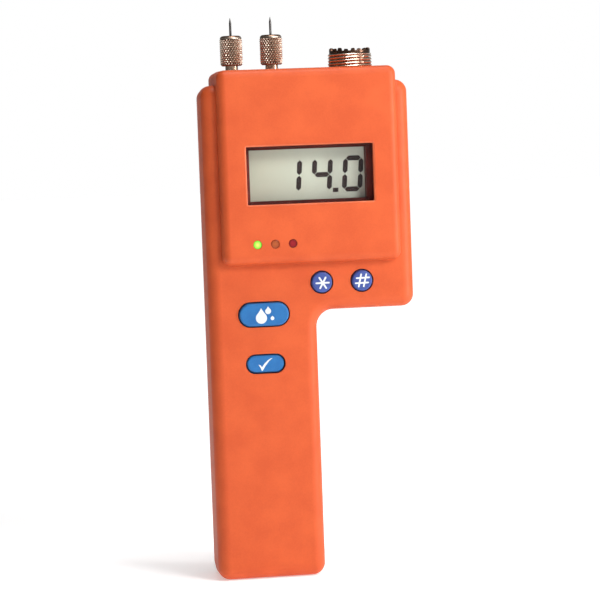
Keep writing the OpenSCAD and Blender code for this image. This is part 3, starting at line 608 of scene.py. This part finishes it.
def symbol(node, body, name, outlines):
    """Flat symbol printed on a key, from outlines in millimetres about the key's middle."""
    centre = middle_of(node)
    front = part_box(node)[0].y
    mesh = bpy.data.meshes.new(name)
    bm = bmesh.new()
    for i, outline in enumerate(outlines):
        proud = PRINT_PROUD + i * PRINT_STEP
        tops = [bm.verts.new((centre.x + x * MM, front - proud, centre.z + z * MM))
                for x, z in outline]
        feet = [bm.verts.new((centre.x + x * MM, front + PRINT_SUNK + i * PRINT_STEP,
                              centre.z + z * MM))
                for x, z in outline]
        bm.faces.new(tops)
        bm.faces.new(feet[::-1])
        for j in range(len(outline)):
            k = (j + 1) % len(outline)
            bm.faces.new((tops[j], feet[j], feet[k], tops[k]))
    bmesh.ops.recalc_face_normals(bm, faces=bm.faces)
    bmesh.ops.triangulate(bm, faces=[f for f in bm.faces if len(f.verts) > 4])
    bm.to_mesh(mesh)
    bm.free()
    piece(name, mesh, paints["white_plastic"], body, 40)


def drop(tip, bottom, r):
    """Outline of a drop: a point on top of a round belly."""
    x, z = tip
    centre = (x, bottom + r)
    tall = z - centre[1]
    opening = math.asin(min(0.95, r / tall))
    turns = [math.pi - opening + (math.pi + 2 * opening) * i / 36 for i in range(37)]
    belly = [(centre[0] + r * math.cos(t), centre[1] + r * math.sin(t)) for t in turns]
    left, right = belly[0], belly[-1]

    def side(foot):
        return [(x + (foot[0] - x) * (s ** 1.25), z + (foot[1] - z) * s)
                for s in (0.12, 0.3, 0.5, 0.7, 0.86)]
    return [(x, z)] + side(left) + belly + side(right)[::-1]


def bar(a, b, width):
    """Outline of a straight stroke with round ends."""
    run = Vector((b[0] - a[0], b[1] - a[1]))
    turn = math.atan2(run.y, run.x)
    ends = []
    for (x, z), start in ((b, -90), (a, 90)):
        for i in range(7):
            t = turn + math.radians(start + 30 * i)
            ends.append((x + width / 2 * math.cos(t), z + width / 2 * math.sin(t)))
    return ends


DROPS = [drop((-1.1, 2.4), -3.2, 2.0), drop((1.4, 2.9), 0.1, 1.05),
         drop((2.85, -0.5), -2.1, 0.65)]
TICK = [[(-2.6, -0.25), (-2.0, -0.35), (-1.35, -1.2), (-0.5, 0.0), (0.9, 1.3), (2.6, 2.1),
         (1.3, 1.0), (0.1, -0.45), (-1.2, -2.45), (-1.55, -2.3), (-1.9, -1.3)]]
STAR = [bar((-2.1, -0.27), (2.4, -0.22), 0.62), bar((-0.95, 1.6), (1.4, -2.1), 0.62),
        bar((1.3, 1.65), (-0.8, -2.1), 0.62)]
HASH = [bar((-2.0, 0.9), (2.5, 1.0), 0.58), bar((-2.4, -0.9), (2.1, -0.8), 0.58),
        bar((-0.35, 2.2), (-1.35, -2.1), 0.58), bar((1.5, 2.2), (0.45, -2.1), 0.58)]
symbol("moisture_key", "moisture_button", "moisture_key_drops", DROPS)
symbol("check_key", "check_button", "check_key_tick", TICK)
symbol("star_key", "star_button", "star_key_star", STAR)
symbol("hash_key", "hash_button", "hash_key_hash", HASH)


# ---------------------------------------------------------------- camera, floor and lights

scene.view_settings.view_transform = "Standard"
PANEL_OUT = 4.7 * MM      # the raised display head in front of the case's face
CAMERA_X, CAMERA_Z = -4.66 * MM, 99.12 * MM
CAMERA_ANGLES = (8.94, 3.78, 2.08)
CAMERA_DISTANCE = 0.9027
CAMERA_LENS, CAMERA_SENSOR = 152.56, 36
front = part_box("front_shell")[0].y + PANEL_OUT
target = Vector((CAMERA_X, front, CAMERA_Z))
yaw, pitch, roll = (math.radians(a) for a in CAMERA_ANGLES)
turn = (Matrix.Rotation(-yaw, 4, "Z") @ Matrix.Rotation(math.pi / 2 - pitch, 4, "X")
        @ Matrix.Rotation(-roll, 4, "Z"))
camera = bpy.data.objects.new("camera", bpy.data.cameras.new("camera"))
camera.data.lens = CAMERA_LENS
camera.data.sensor_width = CAMERA_SENSOR
back = Matrix.Translation((0, 0, CAMERA_DISTANCE))
camera.matrix_world = Matrix.Translation(target) @ turn @ back
scene.collection.objects.link(camera)
scene.camera = camera


FLOOR_REACH = 6.0
FLOOR_DROP = 0.2 * MM
LANE_LEAN = 0.157         # the camera's line of sight: metres along X for each along Y
LANE_START = 0.92         # how far in front of the middle the lane comes to its point
LANE_OUT, LANE_IN = 0.24, 0.13
GLOW_ASIDE = 0.3


def floor():
    """White ground that glows, more so far away in a lane along the camera's line of sight."""
    mesh = bpy.data.meshes.new("floor")
    bm = bmesh.new()
    bmesh.ops.create_grid(bm, x_segments=8, y_segments=8, size=FLOOR_REACH)
    bmesh.ops.translate(bm, verts=bm.verts, vec=(0, 0, cad_box[0].z - FLOOR_DROP))
    bm.to_mesh(mesh)
    bm.free()
    o = bpy.data.objects.new("floor", mesh)
    p = Paint("floor", 0.9)
    p.colour(p.blend(p.noise(60 * MM, 3.0), (0.93, 0.93, 0.93, 1), (0.96, 0.96, 0.96, 1)))
    aside = p.maths("SUBTRACT", p.along("X"), p.maths("MULTIPLY", p.along("Y"), LANE_LEAN))
    reach = p.maths("ADD", p.along("Y"), LANE_START)
    lane = p.spread(p.maths("DIVIDE", p.maths("ABSOLUTE", aside), reach), LANE_OUT, LANE_IN)
    far = p.spread(p.away((0, 0.1, 0), (1, 1, 0)), 0.12, 0.7, 0.42, 0.85)
    p.put(p.shader.inputs["Emission Strength"], p.blend(lane, GLOW_ASIDE, far, "FLOAT"))
    p.set(Emission_Color=(1, 1, 1, 1))
    mesh.materials.append(p.material)
    scene.collection.objects.link(o)


SIGHT = (0.155, 0.988, 0)  # the camera's line of sight, level
SIGHT_EDGE = (0.955, 0.975)


def surroundings():
    """White only straight ahead of the camera; grey elsewhere, darkest to the left."""
    world = bpy.data.worlds.new("world")
    world.use_nodes = True
    tree = world.node_tree
    background = tree.nodes["Background"]
    where = tree.nodes.new("ShaderNodeTexCoord")
    split = tree.nodes.new("ShaderNodeSeparateXYZ")
    tree.links.new(where.outputs["Generated"], split.inputs[0])

    def ramp(value, low, high, to_low, to_high):
        made = tree.nodes.new("ShaderNodeMapRange")
        made.interpolation_type = "SMOOTHSTEP"
        tree.links.new(value, made.inputs["Value"])
        for key, number in (("From Min", low), ("From Max", high), ("To Min", to_low),
                            ("To Max", to_high)):
            made.inputs[key].default_value = number
        return made.outputs["Result"]

    def join(kind, a, b):
        made = tree.nodes.new("ShaderNodeMath")
        made.operation = kind
        tree.links.new(a, made.inputs[0])
        tree.links.new(b, made.inputs[1])
        return made.outputs[0]

    sides = ramp(split.outputs["X"], -0.7, 0.35, 0.1, 0.34)
    ahead = tree.nodes.new("ShaderNodeVectorMath")
    ahead.operation = "DOT_PRODUCT"
    tree.links.new(where.outputs["Generated"], ahead.inputs[0])
    ahead.inputs[1].default_value = SIGHT
    behind = ramp(ahead.outputs["Value"], *SIGHT_EDGE, 0.0, 1.0)
    tree.links.new(join("MAXIMUM", sides, behind), background.inputs["Strength"])
    background.inputs["Color"].default_value = (1, 1, 1, 1)
    scene.world = world


def area(name, where, aim, size, power):
    """White rectangular light at one place, turned to face another."""
    lamp = bpy.data.lights.new(name, "AREA")
    lamp.shape = "RECTANGLE"
    lamp.size, lamp.size_y = size
    lamp.energy = power
    o = bpy.data.objects.new(name, lamp)
    o.location = where
    o.rotation_euler = (Vector(aim) - Vector(where)).to_track_quat("-Z", "Y").to_euler()
    scene.collection.objects.link(o)


floor()
surroundings()
area("key", (0.45, -0.75, 0.62), (0, 0, 0.11), (0.3, 0.3), 5.6)
area("strip", (0.42, -0.22, 0.12), (0, 0, 0.1), (0.08, 0.45), 1.9)
area("top", (0.05, -0.1, 0.7), (0, 0, 0.1), (0.3, 0.2), 2.0)
